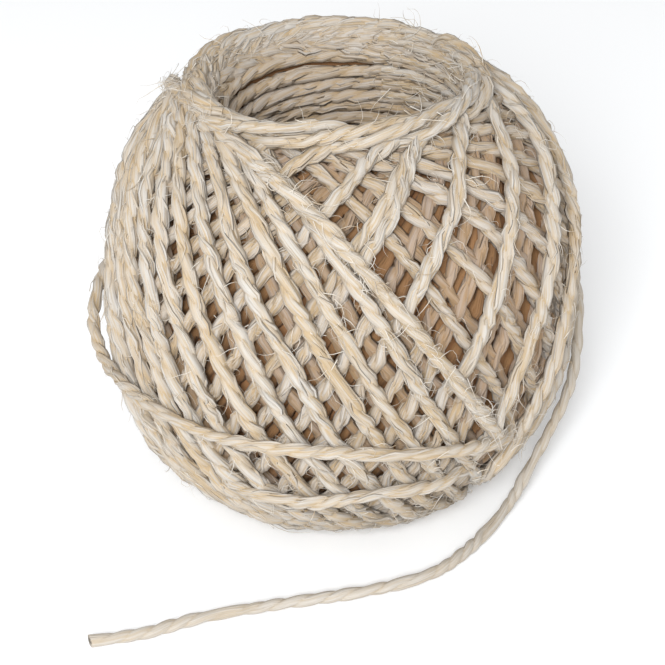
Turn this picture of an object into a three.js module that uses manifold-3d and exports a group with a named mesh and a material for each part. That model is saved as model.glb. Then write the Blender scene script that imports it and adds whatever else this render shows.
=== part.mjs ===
// Ball of sisal twine, wound crosswise round a spindle that left a hole right through it.
// The free end of its last turn hangs down on the right and lies in front of the ball.
// Millimetres, +Z up. The ball stands at Z = 0 and the origin is under the middle of its outline.

import * as THREE from 'three';
import { mergeVertices } from 'three/addons/utils/BufferGeometryUtils.js';
import Module from 'manifold-3d';

const wasm = await Module();
wasm.setup();

// The twine, two plies laid left-handed.
const TWINE = 3;
const TWINE_LAY = 10.6;          // length of one whole twist
const PLY_BULGE = 0.4;           // how far the two plies stand past the twine's mean radius

// The ball is a barrel round the hole's axis, squarer than a sphere.
const BALL_RADIUS = 50;
const POLE_RADIUS = 51.2;        // where the barrel's curve would meet its axis
const BARREL_POWER = 2.5;
const CENTRE = new THREE.Vector3(1.8, 0, 46.4);
const LEAN = 0.021;              // sideways shift of the wound body for each mm of height
const MOUTH_SHIFT = -2.4;        // the upper mouth sits this far to the left of the lean

// The hole flares to a rounded mouth at each end.
const THROAT_RADIUS = 22.4;
const MOUTH_RADIUS = 26.2;
const MOUTH_HEIGHT = 46.8;       // of the mouth's crest over the ball's centre
const FLARE_DEPTH = 9;
const HOLE_SIDES = 60;

// A turn is a tilted ring round the ball that touches both mouths, laid at some degrees round
// the ball. On one side of the newest ring the turns that lean down to the right are on top and
// close together, and on the other side those that lean down to the left, further apart.
const TILT = 61;
const NEWEST = { lay: 29, tilt: 56.5, lift: -0.3 };
const SIDE_OVERLAP = 0.7;        // the two sides run this far past the newest ring
// Across each turn: parts of the pitch with the depth there under the outermost surface.
const CLOSE_TURNS = { count: 42, firstLay: 3, across: [[0, 1.5], [0.3, 0], [0.7, 0]] };
const CROSSING_TURNS = {
  count: 16,
  firstLay: -7,
  across: [[0, 1.5], [0.36, 1.4], [0.44, 0], [0.56, 0], [0.64, 1.4]],
};
const MOUTH_MARGIN = 7;          // degrees of a turn left out next to a mouth
const LAYER_ROWS = 18;
const ROPE_SIDES = 6;
const NEWEST_STEPS = 18;
const BEDDING = 2.2;             // a raised rope reaches so many radii into the layer under it

// Two level turns low on the front, by azimuth in degrees, height and lift of the middle over
// the wound surface. The upper one goes on round the back and ends where the loose end starts.
const UPPER_LEVEL_ROUTE = [
  [-43, 31.5, -1.6], [-50, 32.8, 0.5], [-63, 34.4, 1.1], [-77, 35.3, 1.1], [-90, 36, 1.1],
  [-103, 35.6, 1.1], [-118, 35, 1.1], [-132, 35.6, 1.1], [-146, 35.7, 1.1], [-158, 34.6, 1.2],
  [-166, 34.8, 2.0], [-174, 38.2, 2.7], [-183, 41.5, 1.9], [-194, 43, 1.1], [-212, 43.4, 1.1],
  [-232, 43.6, 1.1], [-252, 44.2, 1.1], [-272, 45, 1.1], [-292, 46, 1.1], [-312, 46.8, 1.1],
  [-326, 46.6, 1.2], [-336, 44.8, 1.5], [-341.4, 42.9, 1.9],
];
const LOWER_LEVEL_ROUTE = [
  [-120, 22, -1.8], [-112, 23.2, 0.4], [-104, 23.8, 1.0], [-96, 24, 1.1], [-88, 25.2, 1.1],
  [-80, 26.2, 1.1], [-71, 26, 1.0], [-63, 25.2, 0.4], [-56, 24.2, -1.8],
];

// The loose end's middle line: off the back of the right side, down and round the front.
const LOOSE_ROUTE = [
  [51.2, 16.0, 42.0], [52.5, 13.1, 38.2], [53.6, 9.8, 33.6], [53.5, 7.4, 30.0],
  [53.2, 4.5, 25.8], [52.4, 1.2, 21.2], [50.8, -2.0, 17.1], [48.3, -5.7, 13.1],
  [45.5, -9.6, 9.6], [42.5, -14.1, 6.4], [39.5, -19.1, 3.9], [36.5, -24.1, 2.4],
  [33.2, -29.2, 1.7], [27.9, -36.7, 1.6], [21.9, -42.9, 1.6], [14.2, -47.2, 1.6],
  [4.1, -50.4, 1.6], [-6.0, -52.8, 1.6], [-15.9, -55.3, 1.6], [-25.7, -58.2, 1.6],
  [-35.3, -62.5, 1.6], [-43.0, -64.7, 1.6], [-48.0, -65.6, 1.6],
];
const LOOSE_SIDES = 8;
const LOOSE_STEPS = 116;

const SISAL = { color: 0xd8c8a6, roughness: 0.9, metalness: 0 };

// Put a direction from the ball's centre on the wound surface, lifted outward by some mm.
function onBarrel(direction, lift) {
  const across = Math.hypot(direction.x, direction.y);
  const up = Math.abs(direction.z);
  const sum = (across / BALL_RADIUS) ** BARREL_POWER + (up / POLE_RADIUS) ** BARREL_POWER;
  const point = direction.clone().multiplyScalar(sum ** (-1 / BARREL_POWER) + lift);
  const nearMouth = THREE.MathUtils.smoothstep(point.z, 0.75 * MOUTH_HEIGHT, MOUTH_HEIGHT);
  point.x += LEAN * point.z + MOUTH_SHIFT * nearMouth;
  return point.add(CENTRE);
}

// The direction at an angle along a tilted ring: 90 degrees is at the upper mouth.
function turnDirection(layDegrees, alongDegrees, tiltDegrees = TILT) {
  const lay = THREE.MathUtils.degToRad(layDegrees);
  const along = THREE.MathUtils.degToRad(alongDegrees);
  const tilt = THREE.MathUtils.degToRad(tiltDegrees);
  const level = new THREE.Vector3(-Math.sin(lay), Math.cos(lay), 0);
  const rising = new THREE.Vector3(
    -Math.cos(tilt) * Math.cos(lay), -Math.cos(tilt) * Math.sin(lay), Math.sin(tilt));
  return level.multiplyScalar(Math.cos(along)).addScaledVector(rising, Math.sin(along));
}

// The direction at an azimuth and a latitude in degrees.
function polarDirection(azimuthDegrees, latitudeDegrees) {
  const azimuth = THREE.MathUtils.degToRad(azimuthDegrees);
  const latitude = THREE.MathUtils.degToRad(latitudeDegrees);
  const across = Math.cos(latitude);
  return new THREE.Vector3(
    across * Math.cos(azimuth), across * Math.sin(azimuth), Math.sin(latitude));
}

// A layer of turns as one fluted barrel, closed by flat ends in the mouths. The turns run down
// from the upper mouth towards growing angles along their ring, or towards falling ones.
function layer({ count, firstLay, across }, runsTo) {
  const columns = count * across.length;
  const geometry = new THREE.CylinderGeometry(1, 1, 1, columns, LAYER_ROWS);
  const position = geometry.getAttribute('position');
  for (let i = 0; i < position.count; i++) {
    const angle = Math.atan2(position.getX(i), position.getZ(i));
    const column = (Math.round(angle / (2 * Math.PI) * columns) + columns) % columns;
    const [part, depth] = across[column % across.length];
    const lay = firstLay + (Math.floor(column / across.length) + part) * 360 / count;
    const down = 0.5 - position.getY(i);
    const along = THREE.MathUtils.lerp(MOUTH_MARGIN, 180 - MOUTH_MARGIN, down) * runsTo + 90;
    const relief = THREE.MathUtils.smoothstep(0.5 - Math.abs(down - 0.5), 0, 0.12);
    const point = onBarrel(turnDirection(lay, along), -depth * relief);
    const isEndCentre = Math.hypot(position.getX(i), position.getZ(i)) < 0.5;
    position.setXYZ(i, isEndCentre ? CENTRE.x : point.x, isEndCentre ? 0 : point.y, point.z);
  }
  return geometry;
}

// Everything on the side of the newest ring where the crossing turns are on top, and a little
// past the ring.
function crossingSide(past) {
  const normal = turnDirection(NEWEST.lay, 0).cross(turnDirection(NEWEST.lay, 90, NEWEST.tilt));
  const size = 4 * BALL_RADIUS;
  const box = new THREE.BoxGeometry(size, size, size).translate(0, 0, size / 2 - past);
  const turn = new THREE.Quaternion().setFromUnitVectors(new THREE.Vector3(0, 0, 1), normal);
  return box.applyQuaternion(turn).translate(CENTRE.x, CENTRE.y, CENTRE.z);
}

// Bend a straight upright cylinder of unit length onto a line: frameAt gives the middle line's
// point, its direction and the side that faces up, for a fraction of the length.
function bend(cylinder, frameAt) {
  const position = cylinder.getAttribute('position');
  const offset = new THREE.Vector3();
  for (let i = 0; i < position.count; i++) {
    const { point, tangent, up } = frameAt(position.getY(i) + 0.5);
    offset.crossVectors(tangent, up).multiplyScalar(position.getX(i));
    offset.addScaledVector(up, position.getZ(i)).add(point);
    position.setXYZ(i, offset.x, offset.y, offset.z);
  }
  return cylinder;
}

// A raised rope on the ball, through the points that pointAt gives for fractions of its length.
function raisedRope(pointAt, steps, radius) {
  const rope = new THREE.CylinderGeometry(radius, radius, 1, ROPE_SIDES, steps);
  const position = rope.getAttribute('position');
  for (let i = 0; i < position.count; i++) {
    position.setZ(i, position.getZ(i) * (position.getZ(i) < 0 ? BEDDING : 1));
  }
  return bend(rope, (fraction) => {
    const point = pointAt(fraction);
    const outward = point.clone().sub(CENTRE).normalize();
    const tangent = pointAt(fraction + 0.001).sub(pointAt(fraction - 0.001)).normalize();
    const up = outward.addScaledVector(tangent, -outward.dot(tangent)).normalize();
    return { point, tangent, up };
  });
}

// One half of the newest turn, from mouth to mouth.
function newestTurn(runsTo) {
  return raisedRope((fraction) => {
    const along = THREE.MathUtils.lerp(0, 180, fraction) * runsTo + 90;
    return onBarrel(turnDirection(NEWEST.lay, along, NEWEST.tilt), NEWEST.lift);
  }, NEWEST_STEPS, 0.55 * TWINE);
}

// A rope through a table of [azimuth, latitude, lift].
function polarRope(route, stepsPerPoint, radius) {
  const points = route.map(([azimuth, latitude, lift]) =>
    onBarrel(polarDirection(azimuth, latitude), lift));
  const curve = new THREE.CatmullRomCurve3(points);
  return raisedRope((fraction) => curve.getPoint(THREE.MathUtils.clamp(fraction, 0, 1)),
    (route.length - 1) * stepsPerPoint, radius);
}

// A rope through a table of [azimuth, height, lift], kept at those heights over the floor.
function levelRope(route, stepsPerPoint, radius) {
  const polar = route.map(([azimuth, height, lift]) => {
    const latitude = Math.asin((height - CENTRE.z) / BALL_RADIUS);
    return [azimuth, THREE.MathUtils.radToDeg(latitude), lift];
  });
  return polarRope(polar, stepsPerPoint, radius);
}

// The space of the hole: a tube that flares to each mouth on a quarter of an ellipse.
function holeSpace() {
  const flare = MOUTH_RADIUS - THROAT_RADIUS;
  const upper = [[MOUTH_RADIUS + 4, MOUTH_HEIGHT + 10], [MOUTH_RADIUS + 1.5, MOUTH_HEIGHT + 0.4]];
  for (const degrees of [90, 65, 40, 15]) {
    const angle = THREE.MathUtils.degToRad(degrees);
    upper.push([
      MOUTH_RADIUS - flare * Math.cos(angle),
      MOUTH_HEIGHT - FLARE_DEPTH * (1 - Math.sin(angle)),
    ]);
  }
  const profile = [...upper, ...upper.map(([radius, height]) => [radius, -height]).reverse()];
  const space = new THREE.CylinderGeometry(1, 1, 1, HOLE_SIDES, profile.length - 1);
  const position = space.getAttribute('position');
  for (let i = 0; i < position.count; i++) {
    const row = Math.round((0.5 - position.getY(i)) * (profile.length - 1));
    const [radius, height] = profile[row];
    const nearMouth = THREE.MathUtils.smoothstep(height, 0.75 * MOUTH_HEIGHT, MOUTH_HEIGHT);
    const shift = LEAN * height + MOUTH_SHIFT * nearMouth;
    position.setXYZ(i, radius * position.getZ(i) + shift, radius * position.getX(i), height);
  }
  return space.translate(CENTRE.x, CENTRE.y, CENTRE.z);
}

// A geometry as a solid for joining and cutting.
function solid(geometry) {
  const plain = geometry.index ? geometry.clone() : geometry;
  plain.deleteAttribute('normal');
  plain.deleteAttribute('uv');
  const merged = mergeVertices(plain, 1e-4);
  return new wasm.Manifold(new wasm.Mesh({
    numProp: 3,
    vertProperties: new Float32Array(merged.getAttribute('position').array),
    triVerts: new Uint32Array(merged.index.array),
  }));
}

// A joined or cut solid back as a geometry.
function surface(body) {
  const { vertProperties, triVerts } = body.getMesh();
  const geometry = new THREE.BufferGeometry();
  geometry.setAttribute('position', new THREE.BufferAttribute(vertProperties, 3));
  geometry.setIndex(new THREE.BufferAttribute(triVerts, 1));
  geometry.computeVertexNormals();
  return geometry;
}

// The wound body: both layers, the newest turn and the level ones, the hole and the flat rim.
function woundBall() {
  const closeSide = solid(layer(CLOSE_TURNS, 1)).subtract(solid(crossingSide(-SIDE_OVERLAP)));
  const otherSide = solid(layer(CROSSING_TURNS, -1)).intersect(solid(crossingSide(SIDE_OVERLAP)));
  const ropes = [
    newestTurn(1),
    newestTurn(-1),
    levelRope(UPPER_LEVEL_ROUTE, 1, 0.47 * TWINE),
    levelRope(LOWER_LEVEL_ROUTE, 1, 0.47 * TWINE),
  ];
  let body = closeSide.add(otherSide);
  for (const rope of ropes) {
    body = body.add(solid(rope));
  }
  const floor = new THREE.BoxGeometry(4 * BALL_RADIUS, 4 * BALL_RADIUS, BALL_RADIUS);
  body = body.subtract(solid(holeSpace()));
  return surface(body.subtract(solid(floor.translate(0, 0, -BALL_RADIUS / 2))));
}

// The loose end: a round bar raised into two plies that wind round each other along its route.
function looseEnd() {
  const curve = new THREE.CatmullRomCurve3(LOOSE_ROUTE.map((point) => new THREE.Vector3(...point)));
  curve.arcLengthDivisions = 20 * LOOSE_ROUTE.length;
  const length = curve.getLength();
  const frames = curve.computeFrenetFrames(LOOSE_STEPS, false);
  const bar = new THREE.CylinderGeometry(1, 1, 1, LOOSE_SIDES, LOOSE_STEPS);
  const position = bar.getAttribute('position');
  for (let i = 0; i < position.count; i++) {
    const [x, y, z] = [position.getX(i), position.getY(i), position.getZ(i)];
    const twist = 2 * Math.PI * (y + 0.5) * length / TWINE_LAY;
    const radius = TWINE / 2 - PLY_BULGE * (1 - Math.cos(2 * (Math.atan2(z, x) - twist)));
    position.setXYZ(i, x * radius, y, z * radius);
  }
  return bend(bar, (fraction) => {
    const step = Math.round(fraction * LOOSE_STEPS);
    return { point: curve.getPointAt(fraction), tangent: frames.tangents[step], up: frames.normals[step] };
  });
}

// A named piece with its own finish.
function piece(name, geometry) {
  const mesh = new THREE.Mesh(geometry, new THREE.MeshStandardMaterial(SISAL));
  mesh.name = name;
  return mesh;
}

const ball = new THREE.Group();
ball.add(piece('wound_ball', woundBall()), piece('loose_end', looseEnd()));

export default ball;
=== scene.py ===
"""A machine-wound ball of two-ply sisal twine, standing on the rim of its spindle hole.

The turns are laid over the fixed solids of the wound ball and its loose end. Lengths are metres
unless a name says otherwise, +Z is up and the ball stands at Z = 0.
"""

import logging
import math
from dataclasses import dataclass, field
from enum import Enum, IntEnum

import bmesh
import bpy
import numpy as np
from mathutils import Matrix, Vector


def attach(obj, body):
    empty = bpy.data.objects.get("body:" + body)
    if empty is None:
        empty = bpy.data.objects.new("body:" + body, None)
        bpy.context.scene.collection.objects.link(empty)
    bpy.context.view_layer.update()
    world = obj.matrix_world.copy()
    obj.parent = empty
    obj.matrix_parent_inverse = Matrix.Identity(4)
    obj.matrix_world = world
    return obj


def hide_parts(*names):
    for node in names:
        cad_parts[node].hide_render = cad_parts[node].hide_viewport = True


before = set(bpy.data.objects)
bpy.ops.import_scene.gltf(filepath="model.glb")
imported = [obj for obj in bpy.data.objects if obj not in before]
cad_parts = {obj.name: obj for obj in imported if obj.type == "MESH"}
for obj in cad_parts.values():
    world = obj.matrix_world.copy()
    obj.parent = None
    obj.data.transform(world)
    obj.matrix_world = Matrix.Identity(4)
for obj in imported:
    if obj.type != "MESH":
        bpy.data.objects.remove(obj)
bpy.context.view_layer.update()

LOG = logging.getLogger("ball_of_twine")
MM = 0.001
TWINE = 3.0 * MM
TWIST_LENGTH = 10.6 * MM
LOWEST = 0.04 * MM
HALVES = (0.5, 0.5, 0.5)

Colour = tuple[float, float, float]
Point = tuple[float, float, float]
Waves = tuple[tuple[float, float], ...]


class Seed(IntEnum):
    """The fixed seed of each thing that is drawn at random: lays, shades and loose fibres."""

    LAY_DOWN = 4
    LAY_TOP = 5
    LAY_BETWEEN = 6
    LAY_UNDER = 7
    LAY_ACROSS = 8
    LAY_WRAPS = 9
    LAY_RINGS = 4
    SHADE_DOWN = 11
    SHADE_UP = 12
    SHADE_DEEP = 13
    SHADE_WALL = 14
    SHADE_NEWEST = 15
    SHADE_LEVEL = 16
    SHADE_LOOSE = 17
    SHADE_MATTED = 18
    SHADE_RIM = 19
    FUZZ_DOWN = 21
    FUZZ_UP = 22
    FUZZ_NEWEST = 23
    FUZZ_LEVEL = 24
    FUZZ_WALL = 25
    FUZZ_MATTED = 26
    FUZZ_RIM = 27


def placed(name: str, data: bpy.types.ID) -> bpy.types.Object:
    """Return a new object of this data, put in the scene.

    Args:
        name: what the object is called.
        data: its mesh, camera or light.

    Returns:
        The object.
    """
    made = bpy.data.objects.new(name, data)
    bpy.context.scene.collection.objects.link(made)
    return made


def eased(value: np.ndarray | float, start: float, span: float) -> np.ndarray:
    """Return 0 below start, 1 past start + span and a smooth step in between."""
    part = np.clip((value - start) / span, 0, 1)
    return part * part * (3 - 2 * part)


def waves(shape: Waves, angle: np.ndarray, phases: np.ndarray) -> np.ndarray:
    """Return the sum of waves along an angle, each given by its height and its rate."""
    return sum(height * np.sin(angle * rate + phase)
               for (height, rate), phase in zip(shape, phases))


class Graph:
    """A node tree that nodes are added to by type, settings and socket values."""

    def __init__(self, tree: bpy.types.NodeTree) -> None:
        """Keep the tree."""
        self.tree = tree

    def add(self, kind: str, settings: dict | None = None, inputs: dict | None = None,
            output: int | str = 0) -> "Socket":
        """Add one node.

        Args:
            kind: the node's type.
            settings: its properties, set before its sockets.
            inputs: a value or a Socket for each input, by name or number.
            output: which output to return.

        Returns:
            The chosen output, which an end node hasn't.
        """
        node = self.tree.nodes.new(kind)
        for name, value in (settings or {}).items():
            setattr(node, name, value)
        for key, value in (inputs or {}).items():
            if isinstance(value, (list, tuple)) and value and isinstance(value[0], Socket):
                for one in value:
                    self.tree.links.new(one.socket, node.inputs[key])
            elif isinstance(value, Socket):
                self.tree.links.new(value.socket, node.inputs[key])
            else:
                node.inputs[key].default_value = value
        return Socket(self, node.outputs[output] if len(node.outputs) else None)

    def vector(self, operation: str, *operands: "Value") -> "Socket":
        """Add a Vector Math node and return its vector."""
        return self.add("ShaderNodeVectorMath", {"operation": operation},
                        dict(enumerate(operands)))

    def scaled(self, vector: "Socket", factor: "Value") -> "Socket":
        """Return a vector times a number."""
        return self.add("ShaderNodeVectorMath", {"operation": "SCALE"},
                        {0: vector, "Scale": factor})

    def smooth(self, value: "Value", low: "Value", high: "Value") -> "Socket":
        """Return 0 below low, 1 above high and a smooth step in between."""
        return self.add("ShaderNodeMapRange", {"interpolation_type": "SMOOTHSTEP"},
                        {"Value": value, "From Min": low, "From Max": high})

    def noise(self, scale: float, detail: float, output: str = "Fac",
              **inputs: "Value") -> "Socket":
        """Add a noise in space, along a number, or in both at once.

        Args:
            scale: how fine it is.
            detail: how many finer layers it has.
            output: Fac or Color.
            inputs: its Vector, its W or both, and its Roughness.

        Returns:
            The noise.
        """
        kinds = {(True, True): "4D", (True, False): "3D", (False, True): "1D"}
        return self.add("ShaderNodeTexNoise",
                        {"noise_dimensions": kinds["Vector" in inputs, "W" in inputs]},
                        {"Scale": scale, "Detail": detail, **inputs}, output)

    def mixed(self, factor: "Value", first: "Socket | Colour", second: Colour) -> "Socket":
        """Return a colour between two, by how much of the second there is.

        Args:
            factor: how much of the second colour there is.
            first: a colour, or a Socket.
            second: a colour.

        Returns:
            The colour between them.
        """
        start = first if isinstance(first, Socket) else (*first, 1.0)
        return self.add("ShaderNodeMix", {"data_type": "RGBA"},
                        {"Factor": factor, 6: start, 7: (*second, 1.0)}, 2)


class Socket:
    """A node's output that sums and products can be written with: each adds a Math node."""

    def __init__(self, graph: Graph, socket: bpy.types.NodeSocket) -> None:
        """Keep the output and the graph that it is in."""
        self.graph = graph
        self.socket = socket

    def other(self, name: str) -> "Socket":
        """Return another output of the same node."""
        return Socket(self.graph, self.socket.node.outputs[name])

    def math(self, operation: str, *operands: "Value") -> "Socket":
        """Add a Math node on these operands and return its value."""
        return self.graph.add("ShaderNodeMath", {"operation": operation},
                              dict(enumerate(operands)))

    def __add__(self, right: "Value") -> "Socket":
        """Return self + right."""
        return self.math("ADD", self, right)

    def __radd__(self, left: "Value") -> "Socket":
        """Return left + self."""
        return self.math("ADD", left, self)

    def __sub__(self, right: "Value") -> "Socket":
        """Return self - right."""
        return self.math("SUBTRACT", self, right)

    def __rsub__(self, left: "Value") -> "Socket":
        """Return left - self."""
        return self.math("SUBTRACT", left, self)

    def __mul__(self, right: "Value") -> "Socket":
        """Return self * right."""
        return self.math("MULTIPLY", self, right)

    def __rmul__(self, left: "Value") -> "Socket":
        """Return left * self."""
        return self.math("MULTIPLY", left, self)

    def __truediv__(self, right: "Value") -> "Socket":
        """Return self / right."""
        return self.math("DIVIDE", self, right)

    def __pow__(self, right: "Value") -> "Socket":
        """Return self to a power."""
        return self.math("POWER", self, right)


Value = Socket | float | int | tuple


class NodeTool:
    """A Geometry Nodes tree with named inputs that is run once on a piece."""

    def __init__(self, name: str) -> None:
        """Make the tree with its geometry going in and out."""
        self.tree = bpy.data.node_groups.new(name, "GeometryNodeTree")
        self.graph = Graph(self.tree)
        self.names: dict[str, str] = {}
        self.tree.interface.new_socket("Geometry", in_out="INPUT",
                                       socket_type="NodeSocketGeometry")
        self.tree.interface.new_socket("Geometry", in_out="OUTPUT",
                                       socket_type="NodeSocketGeometry")
        self.entry = self.tree.nodes.new("NodeGroupInput")

    def input(self, name: str, kind: str, value: float | int | None = None) -> Socket:
        """Add a named input.

        Args:
            name: what the input is called.
            kind: Float, Int or Material.
            value: what it is unless a piece sets it.

        Returns:
            The input, to be used in the tree.
        """
        made = self.tree.interface.new_socket(name, in_out="INPUT",
                                              socket_type=f"NodeSocket{kind}")
        if value is not None:
            made.default_value = value
        self.names[name] = made.identifier
        return Socket(self.graph, self.entry.outputs[name])

    @property
    def geometry(self) -> Socket:
        """The geometry that comes in."""
        return Socket(self.graph, self.entry.outputs["Geometry"])

    def named(self, label: str, kind: str = "FLOAT") -> Socket:
        """Return an attribute of the piece."""
        return self.graph.add("GeometryNodeInputNamedAttribute", {"data_type": kind},
                              {"Name": label})

    def stored(self, geometry: Socket, label: str, value: Socket,
               kind: str = "FLOAT") -> Socket:
        """Return the geometry with an attribute kept on its points.

        Args:
            geometry: what goes in.
            label: the attribute's name.
            value: the attribute.
            kind: the type of its numbers.

        Returns:
            The geometry with the attribute.
        """
        return self.graph.add("GeometryNodeStoreNamedAttribute",
                              {"data_type": kind, "domain": "POINT"},
                              {"Geometry": geometry, "Name": label, "Value": value})

    def close(self, geometry: Socket, material: Socket) -> None:
        """End the tree: real geometry above the floor, smooth, with its material.

        Args:
            geometry: what the tree has made.
            material: the finish it gets.
        """
        add = self.graph.add
        place = add("GeometryNodeInputPosition")
        parts = add("ShaderNodeSeparateXYZ", None, {0: place})
        height = parts.other("Z")
        raised = add("ShaderNodeCombineXYZ", None,
                     {0: parts, 1: parts.other("Y"), 2: height.math("MAXIMUM", height, LOWEST)})
        above = add("GeometryNodeSetPosition", None, {"Geometry": geometry, "Position": raised})
        smooth = add("GeometryNodeSetShadeSmooth", None, {"Geometry": above})
        real = add("GeometryNodeRealizeInstances", None, {"Geometry": smooth})
        dressed = add("GeometryNodeSetMaterial", None, {"Geometry": real, "Material": material})
        leave = self.tree.nodes.new("NodeGroupOutput")
        self.tree.links.new(dressed.socket, leave.inputs["Geometry"])

    def run(self, piece: bpy.types.Object, **values: object) -> bpy.types.Object:
        """Run the tree on a piece and leave a plain mesh.

        Args:
            piece: the object whose mesh goes in, and is replaced.
            values: an input's value by its name, with _ for a space.

        Returns:
            The piece.
        """
        modifier = piece.modifiers.new(self.tree.name, "NODES")
        modifier.node_group = self.tree
        for name, value in values.items():
            modifier[self.names[name.replace("_", " ")]] = value
        graph = bpy.context.evaluated_depsgraph_get()
        mesh = bpy.data.meshes.new_from_object(piece.evaluated_get(graph),
                                               preserve_all_data_layers=True, depsgraph=graph)
        piece.modifiers.remove(modifier)
        old, piece.data = piece.data, mesh
        mesh.name = piece.name
        bpy.data.meshes.remove(old)
        return piece


@dataclass(frozen=True)
class WoundForm:
    """The barrel that the turns lie on, round the hole's axis."""

    radius: float = 50.0 * MM
    pole: float = 51.2 * MM
    power: float = 2.5
    centre: Point = (1.8 * MM, 0.0, 46.4 * MM)
    lean: float = 0.021
    mouth_shift: float = -2.4 * MM
    shift_from: float = 0.75
    mouth_height: float = 46.8 * MM
    mouth_radius: float = 26.2 * MM
    throat_radius: float = 22.4 * MM
    flare_depth: float = 10.8 * MM
    flare_power: float = 1.6
    rim_from: float = 32.0 * MM
    rim_span: float = 12.0 * MM
    rim_reach: float = 38.0 * MM
    rim_fade: float = 8.0 * MM
    side_push: float = 0.8 * MM
    front_pull: float = 2.0 * MM
    front_rise: float = 0.2 * MM

    def shift(self, height: np.ndarray) -> np.ndarray:
        """Return how far to the side the form leans at heights over its centre."""
        near = eased(height / self.mouth_height, self.shift_from, 1 - self.shift_from)
        return self.lean * height + self.mouth_shift * near

    def place(self, directions: np.ndarray, lift: np.ndarray | float) -> np.ndarray:
        """Put directions from the centre on the wound surface.

        Args:
            directions: unit vectors, one a row.
            lift: how far outside the surface each point is.

        Returns:
            The points, one a row.
        """
        across = np.hypot(directions[:, 0], directions[:, 1])
        up = np.abs(directions[:, 2])
        reach = ((across / self.radius) ** self.power
                 + (up / self.pole) ** self.power) ** (-1 / self.power)
        points = directions * (reach + lift)[:, None]
        points[:, 0] += self.shift(points[:, 2])
        return points + np.array(self.centre)

    def wall(self, rise: np.ndarray) -> np.ndarray:
        """Return the hole's radius at heights over or under the centre.

        Args:
            rise: the heights, from the centre.

        Returns:
            The radius at each height.
        """
        down = np.clip((self.mouth_height - np.abs(rise)) / self.flare_depth, 0, 1)
        flare = (self.mouth_radius - self.throat_radius) * (1 - down) ** self.flare_power
        return self.throat_radius + flare

    def opened(self, points: np.ndarray, behind: float) -> np.ndarray:
        """Fit points near a mouth to its uneven opening.

        Args:
            points: points of a turn, one a row.
            behind: how far outside the hole's wall they stay.

        Returns:
            The moved points: never nearer the axis, and higher and nearer at the front.
        """
        rise = points[:, 2] - self.centre[2]
        axis = self.centre[0] + self.shift(rise)
        away = np.stack([points[:, 0] - axis, points[:, 1]], axis=1)
        radius = np.linalg.norm(away, axis=1)
        away /= radius[:, None]
        near = eased(np.abs(rise), self.rim_from, self.rim_span)
        near *= np.clip((self.rim_reach - radius) / self.rim_fade, 0, 1)
        front = np.clip(-away[:, 1], 0, 1) ** 2
        target = np.maximum(radius, self.wall(rise) + behind)
        target += near * (self.side_push * np.abs(away[:, 0]) - self.front_pull * front)
        moved = points.copy()
        moved[:, 0] = axis + away[:, 0] * target
        moved[:, 1] = away[:, 1] * target
        moved[:, 2] += near * front * self.front_rise * (rise > 0)
        return moved

    def revolved(self, radius: float, height: float, azimuth: np.ndarray) -> np.ndarray:
        """Return points round the hole's leaning axis at a radius and a height.

        Args:
            radius: how far from the axis they are.
            height: how high over the centre.
            azimuth: where round the axis, in radians.

        Returns:
            The points, one a row.
        """
        level = np.full(azimuth.shape, height)
        ring = np.stack([radius * np.cos(azimuth) + self.shift(level),
                         radius * np.sin(azimuth), level], axis=1)
        return ring + np.array(self.centre)


FORM = WoundForm()


def turn_direction(lay: np.ndarray | float, along: np.ndarray | float,
                   tilt: np.ndarray | float) -> np.ndarray:
    """Return unit directions on a tilted ring: along is 90 degrees at the upper mouth.

    Args:
        lay: where the ring is laid round the ball, in degrees.
        along: the angle along the ring, in degrees.
        tilt: how steep the ring is, in degrees.

    Returns:
        One direction a row.
    """
    lay, along, tilt = np.broadcast_arrays(*(np.radians(x) for x in (lay, along, tilt)))
    level = np.stack([-np.sin(lay), np.cos(lay), np.zeros(lay.shape)], axis=-1)
    rising = np.stack([-np.cos(tilt) * np.cos(lay), -np.cos(tilt) * np.sin(lay),
                       np.sin(tilt)], axis=-1)
    return np.cos(along)[..., None] * level + np.sin(along)[..., None] * rising


def smooth_route(knots: np.ndarray, steps: int) -> np.ndarray:
    """Run a smooth line through knots, with so many steps between each two.

    Args:
        knots: points or rows of numbers that the line passes through.
        steps: how many points each span gets.

    Returns:
        The line's points.
    """
    padded = np.concatenate([[2 * knots[0] - knots[1]], knots, [2 * knots[-1] - knots[-2]]])
    line = []
    for a, b, c, d in zip(padded, padded[1:], padded[2:], padded[3:]):
        for t in np.arange(steps) / steps:
            line.append(0.5 * (2 * b + (c - a) * t + (2 * a - 5 * b + 4 * c - d) * t ** 2
                               + (3 * b - a - 3 * c + d) * t ** 3))
    return np.array([*line, knots[-1]])


@dataclass
class Strand:
    """One run of twine: its middle line, its thickness, how brown it is from painted shade and age,
    and if it is a ring.
    """

    line: np.ndarray
    thickness: float = 1.0
    # how brown the run is: painted shade where it lies deep in the winding, partly the browner
    # colour of older twine
    age: np.ndarray | float = 0.0
    closed: bool = False


def strand_piece(name: str, strands: list[Strand], seed: int) -> bpy.types.Object:
    """Make an object of bare lines from strands, ready for the twine to be laid on.

    Args:
        name: the piece's name.
        strands: the runs of twine.
        seed: for the number that each run gets for its own shade.

    Returns:
        The object, with thickness, brown from painted shade and age, and its own random shade on its
        points.
    """
    draw = np.random.default_rng(seed)
    points, edges, thick, age, shade = [], [], [], [], []
    for strand in strands:
        first, count = len(points), len(strand.line)
        points.extend(strand.line.tolist())
        edges.extend((first + i, first + i + 1) for i in range(count - 1))
        if strand.closed:
            edges.append((first + count - 1, first))
        thick.extend([strand.thickness] * count)
        age.extend(np.broadcast_to(strand.age, (count,)).tolist())
        shade.extend([float(draw.random())] * count)
    mesh = bpy.data.meshes.new(name)
    mesh.from_pydata(points, edges, [])
    # the brown kept on the points is painted shade, partly older twine
    for label, values in (("thick", thick), ("age", age), ("shade", shade)):
        mesh.attributes.new(label, "FLOAT", "POINT").data.foreach_set("value", values)
    return placed(name, mesh)


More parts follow.
